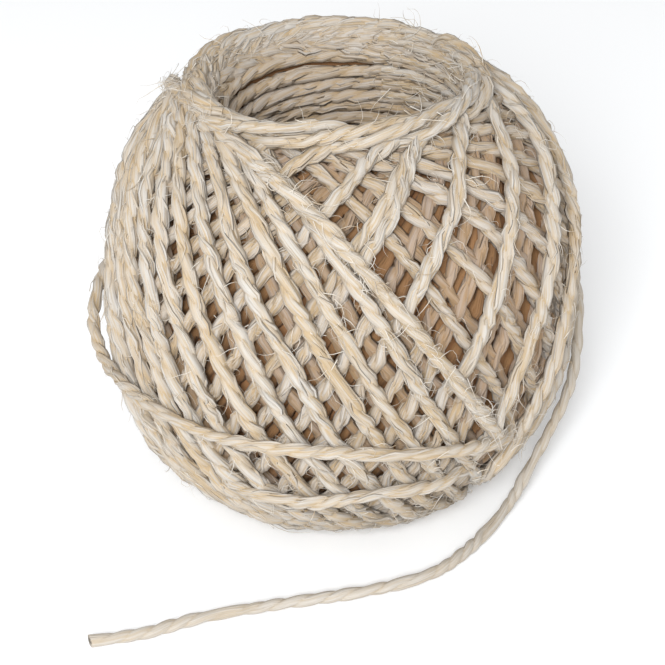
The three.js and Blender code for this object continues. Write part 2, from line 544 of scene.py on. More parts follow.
class StrandTool(NodeTool):
    """Even lines with a twisting offset, along which the parts of twine are swept."""

    SLACK_RATE = 60.0
    SLACK_APART = 90.0
    SLACK_SPREAD = 1.6
    SLACK_LEAST = 0.2
    SLACK_TURN = 6.0
    SHADE_APART = 40.0
    DRIFT_SCALE = 240.0

    def __init__(self, name: str, step: float, sides: int) -> None:
        """Make the inputs and what every part of the twine shares.

        Args:
            name: the tree's name.
            step: how far apart the rings of a part are.
            sides: how many faces a part has round it.
        """
        super().__init__(name)
        add = self.graph.add
        thickness = self.input("Thickness", "Float", TWINE)
        self.twist = self.input("Twist Length", "Float", TWIST_LENGTH)
        self.apart = self.input("Ply Spacing", "Float", 0.125)
        self.ply = self.input("Ply Radius", "Float", 0.35)
        length = self.input("Step", "Float", step)
        count = self.input("Sides", "Int", sides)
        self.wander = self.input("Wander", "Float", 0.24 * MM)
        self.material = self.input("Material", "Material")

        lines = add("GeometryNodeMeshToCurve", None, {"Mesh": self.geometry})
        even = add("GeometryNodeResampleCurve", {"mode": "LENGTH"},
                   {"Curve": lines, "Length": length})
        self.along = add("GeometryNodeSplineParameter", None, None, "Length")
        tangent = add("GeometryNodeInputTangent")
        self.normal = add("GeometryNodeInputNormal")
        self.side = self.graph.vector("CROSS_PRODUCT", tangent, self.normal)
        self.thick = self.named("thick") * thickness
        self.shade = self.named("shade")
        self.place = add("GeometryNodeInputPosition")
        marked = self.stored(self.stored(even, "along", self.along), "run", tangent,
                             "FLOAT_VECTOR")
        self.lines = self.stored(marked, "middle", self.place, "FLOAT_VECTOR")
        self.slack = self.graph.noise(
            1.0, 1.0, W=self.along * self.SLACK_RATE + self.shade * self.SLACK_APART)
        self.ring = add("GeometryNodeCurvePrimitiveCircle", {"mode": "RADIUS"},
                        {"Resolution": count, "Radius": 1.0})

    def uneven(self, scale: float, apart: float, output: str = "Fac") -> Socket:
        """Return noise in space that is its own for each run of twine."""
        return self.graph.noise(scale, 1.0, output, Vector=self.place,
                                W=self.shade * self.SHADE_APART + apart)

    def outward(self, angle: Socket) -> Socket:
        """Return the direction at an angle round the line."""
        across = self.graph.scaled(self.normal, angle.math("COSINE", angle))
        return self.graph.vector("ADD", across,
                                 self.graph.scaled(self.side, angle.math("SINE", angle)))

    def helix(self, phase: float) -> Socket:
        """Return how far the middle of a ply is off the line.

        Args:
            phase: where round the line the ply begins, in radians.

        Returns:
            The offset, a vector.
        """
        angle = (self.along * (-2 * math.pi) / self.twist
                 + (self.slack * self.SLACK_TURN + self.shade * self.SHADE_APART + phase))
        drift = self.graph.vector("SUBTRACT", self.uneven(self.DRIFT_SCALE, 0.0, "Color"),
                                  HALVES)
        loose = self.slack * self.SLACK_SPREAD + self.SLACK_LEAST
        return self.graph.vector(
            "ADD", self.graph.scaled(self.outward(angle), self.thick * self.apart * loose),
            self.graph.scaled(drift, self.wander))

    def sweep(self, offset: Socket, radius: Socket, ring: Socket) -> Socket:
        """Return a tube along the lines.

        Args:
            offset: how far its middle is off them.
            radius: how thick it is.
            ring: its outline, a circle of radius 1.

        Returns:
            The tube, closed at its ends.
        """
        moved = self.graph.add("GeometryNodeSetPosition", None,
                               {"Geometry": self.lines, "Offset": offset})
        return self.graph.add("GeometryNodeCurveToMesh", None,
                              {"Curve": moved, "Profile Curve": ring, "Fill Caps": True,
                               "Scale": radius})

    def join(self, parts: list[Socket]) -> None:
        """End the tree with the parts, each point marked with how far out it is.

        Args:
            parts: the plies or the bundles.
        """
        joined = self.graph.add("GeometryNodeJoinGeometry", None, {"Geometry": parts})
        reach = self.graph.add("ShaderNodeVectorMath", {"operation": "DISTANCE"},
                               {0: self.place, 1: self.named("middle", "FLOAT_VECTOR")},
                               "Value")
        self.close(self.stored(joined, "outer", reach / self.thick), self.material)


class TwineTool(StrandTool):
    """Lays two twisted plies of twine along every line of a piece."""

    PLIES = (0.0, math.pi)
    PLY_SCALE = 170.0
    PLY_SPREAD = 0.7
    PLY_LEAST = 0.65

    def __init__(self) -> None:
        """Build the tree."""
        super().__init__("twine", 1.7 * MM, 6)
        ring = self.stored(self.ring, "around", self.place, "FLOAT_VECTOR")
        plies = []
        for phase in self.PLIES:
            fat = self.uneven(self.PLY_SCALE, phase) * self.PLY_SPREAD + self.PLY_LEAST
            plies.append(self.sweep(self.helix(phase), self.thick * self.ply * fat, ring))
        self.join(plies)


class BundleTool(StrandTool):
    """Lays the coarse bundles of fibre that show on the plies, nearly along the line."""

    BUNDLES = ((0.0, 0.3), (0.0, 2.2), (0.0, 4.5), (math.pi, 1.2), (math.pi, 3.4),
               (math.pi, 5.4))
    SWAY_RATE = 55.0
    SWAY_APART = 50.0
    SWAY_STEP = 7.0
    SWAY_TURN = 9.0
    FAT_SCALE = 150.0
    PROUD_SPREAD = 0.5
    PROUD_LEAST = 0.66
    FAT_SPREAD = 0.26
    FAT_LEAST = -0.02
    TONE_SPREAD = 0.4
    TONE_APART = 3.0

    def __init__(self) -> None:
        """Build the tree."""
        super().__init__("bundles", 1.7 * MM, 3)
        parts = []
        for index, (phase, turn) in enumerate(self.BUNDLES):
            place = self.along * self.SWAY_RATE + self.shade * self.SWAY_APART
            sway = self.graph.noise(1.0, 2.0, W=place + self.SWAY_STEP * index)
            fat = self.uneven(self.FAT_SCALE, self.TONE_APART * index)
            proud = fat * self.PROUD_SPREAD + self.PROUD_LEAST
            out = self.graph.scaled(self.outward(sway * self.SWAY_TURN + turn),
                                    self.thick * self.ply * proud)
            offset = self.graph.vector("ADD", self.helix(phase), out)
            tone = self.graph.vector("ADD", self.graph.scaled(self.place, self.TONE_SPREAD),
                                     (self.TONE_APART * index, 0.0, 0.0))
            ring = self.stored(self.ring, "around", tone, "FLOAT_VECTOR")
            radius = self.thick * (fat * self.FAT_SPREAD + self.FAT_LEAST)
            parts.append(self.sweep(offset, radius, ring))
        self.join(parts)


class FuzzTool(NodeTool):
    """Scatters thin loose fibres over twine, mostly along its run."""

    BOWS = (
        ((-0.4, 0.0, -0.02), (0.0, 0.55, 0.12), (0.4, -0.1, 0.0)),
        ((0.0, 0.0, -0.02), (0.55, 0.1, 0.05), (0.6, 0.6, 0.10)),
        ((0.0, 0.0, -0.02), (0.5, -0.3, 0.10), (0.75, -0.7, 0.03)),
        ((-0.6, 0.1, -0.02), (0.0, -0.5, 0.10), (0.6, 0.2, 0.0)),
        ((0.0, 0.0, -0.02), (0.3, 0.7, 0.10), (0.8, 0.3, 0.02)),
    )
    CURLS = ((0.8, 0.22, 0.1), (1.15, 0.16, 0.24))
    FACING_SPAN = 0.7
    AGES = (0.1, 0.5)
    FEWER_ON_DEEP = 0.85
    RIM_HEIGHTS = (0.7, 0.85)
    FEWER_ON_RIM = 0.6
    TURNED_LEAST = (-0.5, -0.08, -0.9)
    TURNED_MOST = (0.5, 0.06, 0.9)
    SIZES = (0.42, 0.98)
    SIZE_SCALE = 1.5
    CURL_SCALE = 200.0
    THICK_AT_ROOT = 1.15
    SIDES = 3
    BOW_STEPS = 5
    CURL_STEPS = 7
    CURL_RISE = 0.1
    CURL_PLACE = (0.0, 0.0, 0.02)
    CURL_TURN = (0.45, 0.2, 0.0)
    SIZE_SEED = 3
    CHOICE_SEED = 9

    def __init__(self) -> None:
        """Build the tree."""
        super().__init__("fuzz")
        add = self.graph.add
        density = self.input("Density", "Float", 1.0e5)
        seed = self.input("Seed", "Int", 0)
        length = self.input("Length", "Float", 6.0 * MM)
        thin = self.input("Fibre Radius", "Float", 0.014)
        warp = self.input("Warp", "Float", 3.6 * MM)
        outside = self.input("Outside", "Float", -0.3)
        hug = self.input("Hug", "Float", 1.6)
        material = self.input("Material", "Material")

        away = self.graph.vector("NORMALIZE", self.graph.vector(
            "SUBTRACT", add("GeometryNodeInputPosition"), FORM.centre))
        facing = add("ShaderNodeVectorMath", {"operation": "DOT_PRODUCT"},
                     {0: add("GeometryNodeInputNormal"), 1: away}, "Value")
        # fewer fibres where the brown from painted shade and age is high, on deep runs
        bare = self.graph.smooth(self.named("age"), *self.AGES)
        height = add("ShaderNodeSeparateXYZ", None, {0: away}).other("Z")
        rim = self.graph.smooth(height, *self.RIM_HEIGHTS)
        shown = (self.graph.smooth(facing, outside, outside + self.FACING_SPAN)
                 * (1.0 - bare * self.FEWER_ON_DEEP) * (1.0 - rim * self.FEWER_ON_RIM))
        points = add("GeometryNodeDistributePointsOnFaces", {"distribute_method": "RANDOM"},
                     {"Mesh": self.geometry, "Density": density * shown, "Seed": seed})
        raised = self.graph.vector("ADD", points.other("Normal"), self.graph.scaled(away, hug))
        laid = add("FunctionNodeAxesToRotation",
                   {"primary_axis": "Z", "secondary_axis": "X"},
                   {0: raised, 1: self.named("run", "FLOAT_VECTOR")})
        turn = add("FunctionNodeRandomValue", {"data_type": "FLOAT_VECTOR"},
                   {0: self.TURNED_LEAST, 1: self.TURNED_MOST, "Seed": seed})
        turned = add("FunctionNodeRotateRotation", {"rotation_space": "LOCAL"},
                     {0: laid, 1: add("FunctionNodeEulerToRotation", None, {0: turn})})
        size = add("FunctionNodeRandomValue", {"data_type": "FLOAT"},
                   {2: self.SIZES[0], 3: self.SIZES[1], "Seed": seed + self.SIZE_SEED}, 1)
        chosen = add("FunctionNodeRandomValue", {"data_type": "INT"},
                     {4: 0, 5: len(self.BOWS) + len(self.CURLS) - 1,
                      "Seed": seed + self.CHOICE_SEED}, 2)
        rooted = add("GeometryNodeInstanceOnPoints", None,
                     {"Points": points, "Instance": self.fibres(thin), "Pick Instance": True,
                      "Instance Index": chosen, "Rotation": turned,
                      "Scale": size * size * self.SIZE_SCALE * length})
        real = add("GeometryNodeRealizeInstances", None, {"Geometry": rooted})
        noise = self.graph.noise(self.CURL_SCALE, 1.0, "Color",
                                 Vector=add("GeometryNodeInputPosition"))
        bent = self.graph.scaled(self.graph.vector("SUBTRACT", noise, HALVES),
                                 self.named("stem") * warp)
        self.close(add("GeometryNodeSetPosition", None, {"Geometry": real, "Offset": bent}),
                   material)

    def fibres(self, thin: Socket) -> Socket:
        """Return one instance for each bow and curl, one unit long, root first.

        Args:
            thin: how thick a fibre is, for its length.

        Returns:
            The instances, joined.
        """
        add = self.graph.add
        ring = add("GeometryNodeCurvePrimitiveCircle", {"mode": "RADIUS"},
                   {"Resolution": self.SIDES, "Radius": 1.0})
        part = add("GeometryNodeSplineParameter", None, None, "Factor")
        taper = thin * (self.THICK_AT_ROOT - part)
        lines = [add("GeometryNodeCurveQuadraticBezier", None,
                     {"Resolution": self.BOW_STEPS, "Start": a, "Middle": b, "End": c})
                 for a, b, c in self.BOWS]
        for rotations, start, end in self.CURLS:
            spiral = add("GeometryNodeCurveSpiral", None,
                         {"Resolution": self.CURL_STEPS, "Rotations": rotations,
                          "Start Radius": start, "End Radius": end,
                          "Height": self.CURL_RISE})
            lines.append(add("GeometryNodeTransform", None,
                             {"Geometry": spiral, "Translation": self.CURL_PLACE,
                              "Rotation": self.CURL_TURN}))
        made = []
        for line in lines:
            swept = add("GeometryNodeCurveToMesh", None,
                        {"Curve": self.stored(line, "stem", part), "Profile Curve": ring,
                         "Fill Caps": True, "Scale": taper})
            made.append(add("GeometryNodeGeometryToInstance", None, {"Geometry": swept}))
        return add("GeometryNodeJoinGeometry", None, {"Geometry": made})


class MaterialGraph(Graph):
    """The node tree of a new material."""

    def __init__(self, name: str) -> None:
        """Make the material with an empty tree."""
        self.material = bpy.data.materials.new(name)
        self.material.use_nodes = True
        super().__init__(self.material.node_tree)
        self.tree.nodes.clear()

    def attribute(self, label: str, output: str = "Fac") -> Socket:
        """Return an attribute of the piece."""
        return self.add("ShaderNodeAttribute", {"attribute_name": label}, None, output)

    def place(self) -> Socket:
        """Return where a point is on the object."""
        return self.add("ShaderNodeTexCoord", None, None, "Object")

    def surfaced(self, colour: Socket, roughness: float, **inputs: Value) -> bpy.types.Material:
        """End the tree in a shader.

        Args:
            colour: the base colour.
            roughness: how dull the surface is.
            inputs: other inputs of the shader by name, with _ for a space.

        Returns:
            The material.
        """
        named = {name.replace("_", " "): value for name, value in inputs.items()}
        shader = self.add("ShaderNodeBsdfPrincipled", None,
                          {"Base Color": colour, "Roughness": roughness, **named})
        self.add("ShaderNodeOutputMaterial", None, {"Surface": shader})
        return self.material


@dataclass(frozen=True)
class TwineFinish:
    """Sisal twine: pale fibres along each ply, tan in the grooves with painted shade, browner deep
    in the winding with painted shade and age.
    """

    name: str = "sisal_twine"
    pale: Colour = (0.475, 0.443, 0.402)
    tan: Colour = (0.41, 0.305, 0.185)
    # the brown of deep turns and deep wall rings: painted shade, partly older twine
    deep: Colour = (0.23, 0.115, 0.045)
    roughness: float = 0.72
    sheen: float = 0.06
    specular: float = 0.22
    grain: float = 0.4 * MM
    bump_height: float = 0.6
    stretch: float = 30.0
    strand_apart: float = 60.0
    coarse_scale: float = 2.4
    fine_scale: float = 5.0
    patch_scale: float = 95.0
    coarse_roughness: float = 0.62
    fine_roughness: float = 0.6
    coarse_share: float = 0.6
    fine_share: float = 0.4
    patch_share: float = 0.6
    strand_share: float = 0.4
    golden_streaks: float = 0.65
    golden_patches: float = 0.25
    # how much tan the grooves between plies get: painted shade
    groove_shade_share: float = 0.35
    streak_span: tuple[float, float] = (0.4, 0.58)
    patch_span: tuple[float, float] = (0.3, 0.75)
    groove_shade_span: tuple[float, float] = (0.36, 0.45)

    def material(self) -> bpy.types.Material:
        """Return the finish as a material.

        Returns:
            The material.
        """
        graph = MaterialGraph(self.name)
        shade = graph.attribute("shade")
        end_on = graph.add("ShaderNodeCombineXYZ", None,
                           {2: graph.attribute("along") * self.stretch})
        straight = graph.vector("ADD", graph.attribute("around", "Vector"), end_on)
        own = shade * self.strand_apart
        coarse = graph.noise(self.coarse_scale, 3.0, Vector=straight, W=own,
                             Roughness=self.coarse_roughness)
        fine = graph.noise(self.fine_scale, 1.0, Vector=straight, W=own,
                           Roughness=self.fine_roughness)
        patch = graph.noise(self.patch_scale, 3.0, Vector=graph.place())
        streak = graph.smooth(coarse * self.coarse_share + fine * self.fine_share,
                              *self.streak_span)
        worn = graph.smooth(patch * self.patch_share + shade * self.strand_share,
                            *self.patch_span)
        # tan where a point lies near the twine's middle, in the grooves between plies: painted shade
        groove_shade = 1.0 - graph.smooth(graph.attribute("outer"), *self.groove_shade_span)
        # tan from fibre streaks and random patches, and from painted shade in the grooves
        tan_and_groove_shade = ((1.0 - streak) * self.golden_streaks + worn * self.golden_patches
                  + groove_shade * self.groove_shade_share)
        # mixed towards deep by each point's brown from painted shade and age
        shaded_and_aged = graph.mixed(graph.attribute("age"), graph.mixed(tan_and_groove_shade, self.pale, self.tan),
                           self.deep)
        bump = graph.add("ShaderNodeBump", None,
                         {"Strength": 1.0, "Distance": self.grain,
                          "Height": (coarse + fine) * self.bump_height})
        return graph.surfaced(shaded_and_aged, self.roughness, Normal=bump, Sheen_Weight=self.sheen,
                              Specular_IOR_Level=self.specular)


@dataclass(frozen=True)
class FibreFinish:
    """A loose sisal fibre: pale, here and there brown, a little glossy."""

    name: str = "loose_fibre"
    light: Colour = (0.62, 0.57, 0.50)
    brown: Colour = (0.38, 0.27, 0.15)
    scale: float = 260.0
    brown_span: tuple[float, float] = (0.45, 0.75)
    roughness: float = 0.5

    def material(self) -> bpy.types.Material:
        """Return the finish as a material.

        Returns:
            The material.
        """
        graph = MaterialGraph(self.name)
        patch = graph.noise(self.scale, 2.0, Vector=graph.place())
        colour = graph.mixed(graph.smooth(patch, *self.brown_span), self.light, self.brown)
        return graph.surfaced(colour, self.roughness)


@dataclass(frozen=True)
class PlainFinish:
    """One mottled colour, for the floor and for what lies under the turns."""

    name: str
    colour: Colour
    mottle: Colour
    scale: float
    roughness: float = 0.9

    def material(self) -> bpy.types.Material:
        """Return the finish as a material.

        Returns:
            The material.
        """
        graph = MaterialGraph(self.name)
        patch = graph.noise(self.scale, 4.0, Vector=graph.place())
        return graph.surfaced(graph.mixed(patch, self.colour, self.mottle), self.roughness)


class Depth(Enum):
    """How far the middle of a turn lies under the wound surface, layer by layer."""

    TOP = 1.5 * MM
    UNDER = 3.7 * MM
    DEEP = 5.2 * MM
    BURIED = 6.9 * MM


@dataclass
class Workshop:
    """The tools and finishes that every piece shares."""

    twine: TwineTool = field(default_factory=TwineTool)
    bundles: BundleTool = field(default_factory=BundleTool)
    fuzz: FuzzTool = field(default_factory=FuzzTool)
    sisal: bpy.types.Material = field(default_factory=lambda: TwineFinish().material())
    fibre: bpy.types.Material = field(default_factory=lambda: FibreFinish().material())
    clean: bpy.types.Material = field(default_factory=lambda: TwineFinish(
        name="clean_twine", pale=(0.49, 0.455, 0.41), tan=(0.42, 0.35, 0.265)).material())

    def lay(self, name: str, strands: list[Strand], seed: int,
            **sizes: object) -> bpy.types.Object:
        """Lay twine along strands as one piece.

        Args:
            name: the piece's name.
            strands: the runs of twine.
            seed: for their shades.
            sizes: inputs of the twine tool that differ from its own, its material too.

        Returns:
            The piece, riding on the ball.
        """
        piece = strand_piece(name, strands, seed)
        self.twine.run(piece, **{"Material": self.sisal, **sizes})
        return self.finish(piece)

    def tease(self, name: str, strands: list[Strand], seed: int,
              **sizes: float | int) -> bpy.types.Object:
        """Lay bundles of fibre on strands as one piece.

        Args:
            name: the piece's name.
            strands: the runs of twine that the bundles lie on.
            seed: the one that the twine itself was laid with.
            sizes: inputs of the bundle tool that differ from its own.

        Returns:
            The piece, riding on the ball.
        """
        piece = strand_piece(name, strands, seed)
        self.bundles.run(piece, Material=self.sisal, **sizes)
        return self.finish(piece)

    def scatter(self, name: str, base: bpy.types.Object, seed: int,
                **sizes: float | int) -> bpy.types.Object:
        """Scatter loose fibres over a laid piece as a piece of their own.

        Args:
            name: the new piece's name.
            base: the twine that the fibres come out of.
            seed: for where they are and how they lie.
            sizes: inputs of the fuzz tool that differ from its own.

        Returns:
            The piece, riding on the ball.
        """
        piece = placed(name, base.data.copy())
        self.fuzz.run(piece, Material=self.fibre, Seed=int(seed), **sizes)
        return self.finish(piece)

    def finish(self, piece: bpy.types.Object) -> bpy.types.Object:
        """Have a piece ride on the ball and report it.

        Args:
            piece: the finished piece.

        Returns:
            The same piece.
        """
        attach(piece, "root")
        triangles = sum(len(p.vertices) - 2 for p in piece.data.polygons)
        LOG.info("%s: %d triangles", piece.name, triangles)
        return piece


@dataclass
class Core:
    """The dark inside of the ball, a ring with the hole through it; its dark brown is painted shade
    in the gaps between turns.
    """

    columns: int = 96
    rows: int = 26
    latitude: float = 54.0
    depth: float = 7.2 * MM
    wall_rows: int = 9
    wall_height: float = 34.0 * MM
    behind: float = 3.2 * MM
    # dark brown where only the gaps between turns show: painted shade
    finish: PlainFinish = PlainFinish("inner_winding_painted_shade", (0.20, 0.09, 0.035),
                                      (0.32, 0.16, 0.065), 400.0)

    def build(self, shop: Workshop) -> None:
        """Make the core: loops over its outside and back up the hole, joined in order.

        Args:
            shop: the tools and finishes.
        """
        azimuth = np.linspace(0, 2 * math.pi, self.columns, endpoint=False)
        loops = []
        for latitude in np.radians(np.linspace(self.latitude, -self.latitude, self.rows)):
            level = math.cos(latitude)
            directions = np.stack([level * np.cos(azimuth), level * np.sin(azimuth),
                                   np.full(self.columns, math.sin(latitude))], axis=1)
            loops.append(FORM.place(directions, np.full(self.columns, -self.depth)))
        for height in np.linspace(-self.wall_height, self.wall_height, self.wall_rows):
            loops.append(FORM.revolved(FORM.throat_radius + self.behind, height, azimuth))
        faces = []
        for row in range(len(loops)):
            here, below = (side % len(loops) * self.columns for side in (row, row + 1))
            for left in range(self.columns):
                right = (left + 1) % self.columns
                faces.append((here + left, below + left, below + right, here + right))
        mesh = bpy.data.meshes.new("core")
        mesh.from_pydata(np.concatenate(loops).tolist(), [], faces)
        mesh.polygons.foreach_set("use_smooth", [True] * len(faces))
        mesh.materials.append(self.finish.material())
        shop.finish(placed("core", mesh))


@dataclass
class Winding:
    """The crosswise turns of the ball, the rings of the hole's wall and the deeper turns."""

    tilt: float = 61.0
    newest_lay: float = 29.0
    newest_tilt: float = 56.5
    newest_lift: float = -0.4 * MM
    newest_dips: tuple[tuple[float, float], ...] = (
        (0, 0), (62, 0), (80, -0.9), (100, -0.9), (118, 0), (200, 0), (210, -3.1),
        (300, -3.1), (320, 0), (360, 0))
    past_mouth: float = 16.0
    sink: float = 3.5 * MM
    points_a_turn: int = 120
    fatter: float = 0.15
    wander: Waves = ((0.45, 2.3), (0.35, 7.1))
    humps: Waves = ((0.2, 4.0), (0.16, 11.0))
    swap: tuple[float, float] = (-2.5, 6.0)
    # depths in millimetres over which a turn goes brown: painted shade of the deep layers, partly
    # older twine
    shade_and_age_span: tuple[float, float] = (2.8, 4.6)
    behind_top: float = 1.2 * MM
    behind_under: float = 2.7 * MM
    corner_right: float = 22.0
    corner_most: float = 10.0
    corner_top: float = 38.0
    corner_fade: float = 8.0
    between_pitch: float = 8.6
    close_lays: tuple[float, ...] = (-72.0, -60.5, -51.5, -43.8, -35.0, -25.2, -16.0, -6.5,
                                     2.7, 10.6, 20.0)
    rung_lays: tuple[float, ...] = (38.0, 51.0, 64.5, 76.0, 89.0, 102.0, 115.5, 128.0, 140.0)
    top_lays: tuple[tuple[float, float], ...] = (
        (140.7, 60.6), (159.6, 61.8), (165.6, 64.0), (183.0, 62.1), (207.5, 62.2),
        (229.2, 61.2), (251.0, 61.0), (266.0, 61.0), (274.6, 60.8), (282.0, 61.2),
        (289.0, 60.8), (296.0, 61.3), (303.5, 61.0), (311.5, 60.7), (319.5, 61.0),
        (327.5, 61.2), (341.0, 60.9), (364.5, 61.2), (386.0, 61.0), (409.5, 61.0), (431.0, 61.3),
        (454.0, 61.0), (477.5, 61.0))
    turns_round: int = 42
    across_pitch: float = 9.0
    ring_pitch: float = 2.95 * MM
    ring_points: int = 150
    ring_inside: float = 12.0 * MM
    ring_slope: float = 0.9
    ring_rise: Waves = ((0.3, 1), (0.18, 3))
    ring_swing: Waves = ((0.25, 2),)
    # how brown the wall's rings are, more deeper inside the hole: painted shade
    ring_painted_shade: tuple[float, float] = (0.03, 0.15)
    rope_drop: float = 1.7 * MM
    rope_behind: float = 1.35 * MM
    thick: float = 1.12
    wisp_rings: int = 6
    wisp_part: tuple[int, int] = (4, 30)
    wisp_thick: float = 0.8
    wisp_move: Point = (-0.7 * MM, -0.5 * MM, 0.9 * MM)
    wrap_points: int = 60
    wrap_behind: float = 0.3 * MM
    wrap_out: float = 2.5
    wrap_dip: float = 1.9
    wrap_power: int = 6
    wrap_spread: float = 0.25
    wrap_thick: tuple[float, float] = (0.86, 0.12)
    wraps: tuple[tuple[float, float, float, float], ...] = (
        (196, 84, -50, 120), (226, 90, -55, 130), (258, 84, -50, 150), (292, 70, -40, 140),
        (118, 96, -30, -15), (128, 92, 20, -48), (146, 70, -60, 40), (330, 70, -30, 120))

    def side(self, points: np.ndarray) -> np.ndarray:
        """Return how far points are on the crossing turns' side of the newest turn.

        Args:
            points: points on the wound surface, one a row.

        Returns:
            Millimetres, more at the lower right, where the crossing turns begin earlier.
        """
        normal = np.cross(turn_direction(self.newest_lay, 0.0, self.newest_tilt),
                          turn_direction(self.newest_lay, 90.0, self.newest_tilt))
        right, height = points[:, 0] / MM, points[:, 2] / MM
        corner = (np.clip(right - self.corner_right, 0, self.corner_most)
                  * np.clip(self.corner_top - height, 0, self.corner_fade) / self.corner_fade)
        return (points - np.array(FORM.centre)) @ normal / MM + corner

    def half_turn(self, lay: float, tilt: float, runs_to: int, close: Depth, crossing: Depth,
                  draw: np.random.Generator, past: float) -> Strand:
        """Run twine from the upper mouth to the lower one.

        Args:
            lay: where its ring is laid, in degrees.
            tilt: how steep the ring is, in degrees.
            runs_to: 1 for a turn that leans down to the right, -1 for down to the left.
            close: its depth on the side where the close turns are on top.
            crossing: its depth on the other side.
            draw: for how the turn wanders and how thick it is.
            past: how far it runs past the mouths, in degrees along its ring.

        Returns:
            The run of twine.
        """
        thickness = 1.0 + self.fatter * draw.random()
        span = np.linspace(-past, 180 + past, self.points_a_turn)
        phases = draw.random(4) * 2 * math.pi
        wander = waves(self.wander, np.radians(span), phases[:2])
        hump = waves(self.humps, np.radians(span), phases[2:]) * MM
        directions = turn_direction(lay + wander, 90 + span * runs_to, tilt)
        share = eased(self.side(FORM.place(directions, 0.0)), *self.swap)
        depth = close.value * (1 - share) + crossing.value * share
        sunk = np.clip(np.maximum(-span, span - 180) / self.past_mouth, 0, 1)
        behind = self.behind_top if Depth.TOP in (close, crossing) else self.behind_under
        line = FORM.opened(FORM.place(directions, -depth + hump - sunk * self.sink), behind)
        # the deeper the turn lies the browner it is: painted shade, partly older twine
        return Strand(line, thickness, eased(depth / MM, *self.shade_and_age_span))

    def family(self, lays: list[tuple[float, float]], runs_to: int, close: Depth,
               crossing: Depth, seed: int, past: float = 16.0) -> list[Strand]:
        """Return the half turns at these lays and tilts.

        Args:
            lays: the lay and the tilt of each turn, in degrees.
            runs_to: 1 for turns that lean down to the right, -1 for down to the left.
            close: their depth on the side where the close turns are on top.
            crossing: their depth on the other side.
            seed: for how they wander and how thick they are.
            past: how far they run past the mouths, in degrees along their rings.

        Returns:
            The runs of twine.
        """
        draw = np.random.default_rng(seed)
        return [self.half_turn(lay, tilt, runs_to, close, crossing, draw, past)
                for lay, tilt in lays]

    def down_lays(self) -> list[float]:
        """Return the lays of the turns that lean down to the right, all round.

        Returns:
            The lays in degrees: those read off the photograph, then the rest evenly spaced.
        """
        last = self.close_lays[0] + 360
        count = round((last - self.rung_lays[-1]) / 360 * self.turns_round)
        rest = np.linspace(self.rung_lays[-1], last, count + 1)[1:-1]
        return [*self.close_lays, *self.rung_lays, *rest.tolist()]

    def up_lays(self) -> list[float]:
        """Return the lays of the turns that lie between the top crossing ones.

        Returns:
            The lays in degrees.
        """
        tops = sorted(lay for lay, _ in self.top_lays)
        tops.append(tops[0] + 360)
        between = []
        for low, high in zip(tops, tops[1:]):
            gaps = max(1, round((high - low) / self.between_pitch))
            between += np.linspace(low, high, gaps + 1)[1:-1].tolist()
        return between

    def newest(self) -> Strand:
        """Return the newest turn, a whole ring.

        Returns:
            The run of twine, which dips under its neighbours where newest_dips says so.
        """
        along = np.linspace(0, 360, 2 * self.points_a_turn, endpoint=False)
        dip = np.interp(along, *zip(*self.newest_dips)) * MM
        line = FORM.place(turn_direction(self.newest_lay, along, self.newest_tilt),
                          self.newest_lift + dip)
        return Strand(line, self.thick, 0.0, closed=True)

    @property
    def rope_height(self) -> float:
        """How high over the centre the middle of the upper rim's rope lies."""
        return FORM.mouth_height - self.rope_drop

    def rope_radius(self, height: float) -> float:
        """Return how far from the axis the middle of a ring on the wall lies."""
        return float(FORM.wall(np.array(height))) + self.rope_behind

    def wall_rings(self) -> list[Strand]:
        """Return the turns stacked on the hole's wall, mouth to mouth.

        Returns:
            The rings, from the upper mouth down.
        """
        draw = np.random.default_rng(Seed.LAY_RINGS)
        azimuth = np.linspace(0, 2 * math.pi, self.ring_points, endpoint=False)
        count = round(2 * self.rope_height / self.ring_pitch)
        rings = []
        for step in range(count + 1):
            height = self.rope_height * (1 - 2 * step / count)
            phase = draw.random(3) * 2 * math.pi
            line = FORM.revolved(self.rope_radius(height), height, azimuth)
            inside = min(1.0, (FORM.mouth_height - abs(height)) / self.ring_inside)
            line[:, 2] += (self.ring_slope * inside * np.cos(azimuth)
                           + waves(self.ring_rise, azimuth, phase[:2])) * MM
            swing = waves(self.ring_swing, azimuth, phase[2:]) * MM
            line[:, 0] += swing * np.cos(azimuth)
            line[:, 1] += swing * np.sin(azimuth)
            # browner deeper inside the hole: painted shade
            age = self.ring_painted_shade[0] + self.ring_painted_shade[1] * inside
            rings.append(Strand(FORM.opened(line, self.behind_top), self.thick, age, True))
        return rings

    def matted(self) -> list[Strand]:
        """Return the frayed ends of turns on the right of the upper mouth."""
        return [Strand(ring.line[slice(*self.wisp_part)] + np.array(self.wisp_move), self.wisp_thick)
                for ring in self.wall_rings()[:self.wisp_rings]]

    def rim_wraps(self) -> list[Strand]:
        """Return the turns that run slantwise over the rope of the upper rim, into the hole.

        Returns:
            The runs of twine.
        """
        draw = np.random.default_rng(Seed.LAY_WRAPS)
        height = self.rope_height
        radius = self.rope_radius(height)
        part = np.linspace(0, 1, self.wrap_points)
        wraps = []
        for start, length, low, high in self.wraps:
            azimuth = np.radians(start + length * part)
            angle = np.radians(low + (high - low) * part)
            dip = self.wrap_dip * np.abs(2 * part - 1) ** self.wrap_power
            off = (self.wrap_out - dip + self.wrap_spread * draw.random()) * MM
            line = [FORM.revolved(float(radius + out * math.cos(turn)),
                                  float(height + out * math.sin(turn)), np.array([place]))[0]
                    for place, turn, out in zip(azimuth, angle, off)]
            thick = self.wrap_thick[0] + self.wrap_thick[1] * draw.random()
            wraps.append(Strand(FORM.opened(np.array(line), self.wrap_behind), thick))
        return wraps

